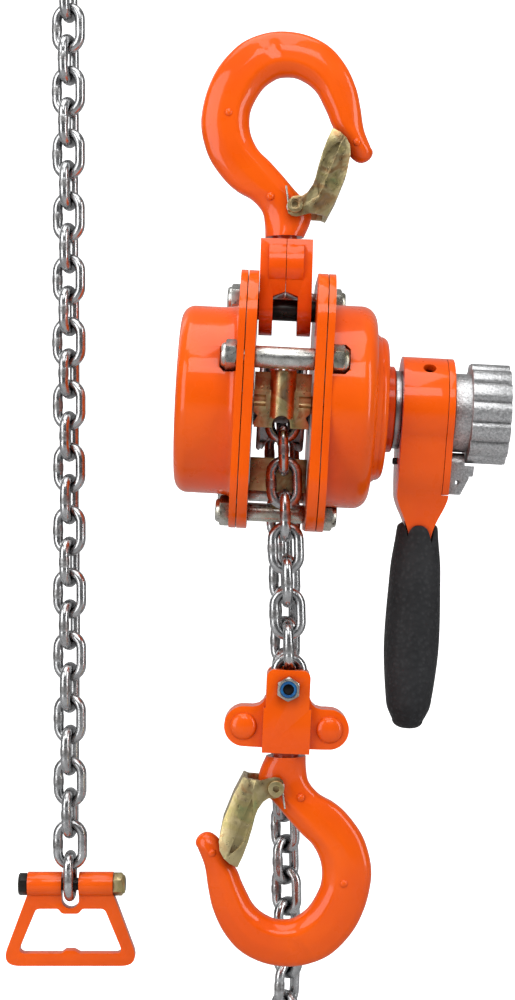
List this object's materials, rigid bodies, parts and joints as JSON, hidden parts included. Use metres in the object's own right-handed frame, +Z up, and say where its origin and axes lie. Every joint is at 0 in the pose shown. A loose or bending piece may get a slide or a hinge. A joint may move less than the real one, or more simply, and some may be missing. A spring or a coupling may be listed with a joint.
{
  "type": "come along winch",
  "caption": "Hand lever chain hoist with swivel hooks and sprung latches, geared load sheave, fluted handwheel, pivoting hook block, and slack chain with a stop handle.",
  "frame": {"origin": "on the flat seat at the crown of the top hook bowl, on the vertical swivel axis of that hook", "axes": "+Z up as it hangs, +X towards the handwheel, -Y the side the load chain leaves from"},
  "size_m": [0.2087, 0.076, 0.4783],
  "materials": {
    "orange_paint": "glossy orange enamel",
    "zinc_chain": "bright zinc plated chain steel",
    "zinc_steel": "zinc plated",
    "yellow_zinc": "yellow passivated stamped steel",
    "black_steel": "black oxide",
    "machined_steel": "machined and lightly oiled",
    "cast_zinc": "fine sand texture, silver cast",
    "black_rubber": "pebbled moulded grip",
    "friction_lining": "brake lining"
  },
  "bodies": {
    "top_hook": {"top_hook": "orange_paint", "top_hook_collar": "black_steel", "top_latch_bolt": "yellow_zinc"},
    "top_latch": {"top_latch": "yellow_zinc", "top_latch_spring": "zinc_steel"},
    "yoke": {"yoke_left_half": "orange_paint", "yoke_right_half": "orange_paint"},
    "hoist_frame": {"gear_side_plate": "orange_paint", "brake_side_plate": "orange_paint", "gear_cover": "orange_paint", "brake_cover": "orange_paint", "suspension_pin": "black_steel", "front_stay": "zinc_steel", "lower_stay": "zinc_steel", "upper_stay": "zinc_steel", "rear_stay": "zinc_steel", "front_stay_nut": "zinc_steel", "lower_stay_nut": "zinc_steel", "upper_stay_nut": "zinc_steel", "rear_stay_nut": "zinc_steel", "chain_guide": "yellow_zinc", "chain_stripper": "yellow_zinc", "gear_side_bearing": "machined_steel", "brake_side_bearing": "machined_steel"},
    "wheel_shaft": {"pinion_shaft": "machined_steel", "handwheel": "cast_zinc", "shaft_nut": "zinc_steel", "friction_hub": "machined_steel"},
    "sheave": {"load_sheave": "machined_steel", "load_gear": "machined_steel", "sheave_chain": "zinc_chain"},
    "upper_idler": {"upper_idler_gear": "machined_steel"},
    "lower_idler": {"lower_idler_gear": "machined_steel"},
    "ratchet": {"ratchet_disc": "machined_steel", "friction_disc_inner": "friction_lining", "friction_disc_outer": "friction_lining"},
    "pawl_upper": {"brake_pawl_upper": "machined_steel"},
    "pawl_lower": {"brake_pawl_lower": "machined_steel"},
    "drive_hub": {"drive_hub": "machined_steel"},
    "lever": {"lever_shell": "orange_paint", "lever_cover": "orange_paint", "lever_grip": "black_rubber"},
    "selector": {"selector_knob": "cast_zinc", "change_pawl": "machined_steel"},
    "load_chain": {"load_chain": "zinc_chain"},
    "block": {"block_front_half": "orange_paint", "block_rear_half": "orange_paint", "block_bolt": "black_steel", "block_nut": "zinc_steel"},
    "bottom_hook": {"bottom_hook": "orange_paint", "bottom_hook_collar": "black_steel", "bottom_latch_bolt": "yellow_zinc"},
    "bottom_latch": {"bottom_latch": "yellow_zinc", "bottom_latch_spring": "zinc_steel"},
    "slack_chain": {"slack_chain_1": "zinc_chain", "slack_chain_2": "zinc_chain", "slack_chain_3": "zinc_chain"},
    "stop_handle": {"stop_handle": "orange_paint", "stop_bolt": "black_steel", "stop_nut": "yellow_zinc"}
  },
  "joints": [
    {"name": "top_latch_pivot", "type": "hinge", "parent": "top_hook", "child": "top_latch", "pos_m": [0.00362, 0, -0.0493], "axis": [0, 1, 0], "range_deg": [-38, 0], "stiffness_Nm_per_rad": 0.02},
    {"name": "top_swivel", "type": "hinge", "parent": "top_hook", "child": "yoke", "pos_m": [0, 0, -0.0687], "axis": [0, 0, 1], "continuous": true},
    {"name": "suspension_pivot", "type": "hinge", "parent": "yoke", "child": "hoist_frame", "pos_m": [0.0006, 0, -0.0872], "axis": [0.9986, 0, -0.0523], "range_deg": [-20, 20]},
    {"name": "handwheel_turn", "type": "hinge", "parent": "hoist_frame", "child": "wheel_shaft", "pos_m": [0.07606, 0, -0.1262], "axis": [0.9986, 0, -0.0523], "range_deg": [-58.5, 58.5]},
    {"name": "sheave_turn", "type": "hinge", "parent": "hoist_frame", "child": "sheave", "pos_m": [-0.00123, 0, -0.12215], "axis": [0.9986, 0, -0.0523], "range_deg": [-10.2, 10.2]},
    {"name": "upper_idler_turn", "type": "hinge", "parent": "hoist_frame", "child": "upper_idler", "pos_m": [-0.02483, 0, -0.10389], "axis": [0.9986, 0, -0.0523], "range_deg": [-24.5, 24.5]},
    {"name": "lower_idler_turn", "type": "hinge", "parent": "hoist_frame", "child": "lower_idler", "pos_m": [-0.02661, 0, -0.13784], "axis": [0.9986, 0, -0.0523], "range_deg": [-24.5, 24.5]},
    {"name": "ratchet_turn", "type": "hinge", "parent": "hoist_frame", "child": "ratchet", "pos_m": [0.02038, 0, -0.12329], "axis": [0.9986, 0, -0.0523], "continuous": true},
    {"name": "pawl_upper_pivot", "type": "hinge", "parent": "hoist_frame", "child": "pawl_upper", "pos_m": [0.02198, -0.009, -0.09273], "axis": [0.9986, 0, -0.0523], "range_deg": [0, 8], "stiffness_Nm_per_rad": 0.01},
    {"name": "pawl_lower_pivot", "type": "hinge", "parent": "hoist_frame", "child": "pawl_lower", "pos_m": [0.01891, -0.01527, -0.15125], "axis": [0.9986, 0, -0.0523], "range_deg": [0, 8], "stiffness_Nm_per_rad": 0.01},
    {"name": "drive_hub_turn", "type": "hinge", "parent": "hoist_frame", "child": "drive_hub", "pos_m": [0.04736, 0, -0.1247], "axis": [0.9986, 0, -0.0523], "continuous": true},
    {"name": "lever_turn", "type": "hinge", "parent": "hoist_frame", "child": "lever", "pos_m": [0.05243, 0, -0.12496], "axis": [0.9986, 0, -0.0523], "continuous": true},
    {"name": "selector_turn", "type": "hinge", "parent": "lever", "child": "selector", "pos_m": [0.05593, 0, -0.14417], "axis": [0.9986, 0, -0.0523], "range_deg": [-12, 12]},
    {"name": "load_chain_run", "type": "slide", "parent": "hoist_frame", "child": "load_chain", "axis": [-0.026, 0, 0.9997], "range_m": [-0.0028, 0.0028], "deforming": ["load_chain"]},
    {"name": "block_pivot", "type": "hinge", "parent": "load_chain", "child": "block", "pos_m": [0.00095, -0.01568, -0.2263], "axis": [0, 1, 0], "range_deg": [-4, 4]},
    {"name": "bottom_swivel", "type": "hinge", "parent": "block", "child": "bottom_hook", "pos_m": [0.00013, -0.01568, -0.2432], "axis": [0, 0, 1], "range_deg": [-60, 60]},
    {"name": "bottom_latch_pivot", "type": "hinge", "parent": "bottom_hook", "child": "bottom_latch", "pos_m": [-0.00349, -0.01568, -0.2622], "axis": [0, 1, 0], "range_deg": [-38, 0], "stiffness_Nm_per_rad": 0.02},
    {"name": "slack_chain_run", "type": "slide", "parent": "hoist_frame", "child": "slack_chain", "axis": [0, 0, 1], "range_m": [-0.0026, 0.0026], "deforming": ["slack_chain_1"]},
    {"name": "stop_handle_pivot", "type": "hinge", "parent": "slack_chain", "child": "stop_handle", "pos_m": [-0.0816, 0.014, -0.3051], "axis": [1, 0, 0], "range_deg": [-25, 25]}
  ],
  "couplings": [
    {"joint": "handwheel_turn", "follows": "slack_chain_run", "rad_per_m": 376.96},
    {"joint": "sheave_turn", "follows": "slack_chain_run", "rad_per_m": 65.445},
    {"joint": "upper_idler_turn", "follows": "slack_chain_run", "rad_per_m": -157.07},
    {"joint": "lower_idler_turn", "follows": "slack_chain_run", "rad_per_m": -157.07},
    {"joint": "load_chain_run", "follows": "slack_chain_run", "ratio": -1}
  ]
}
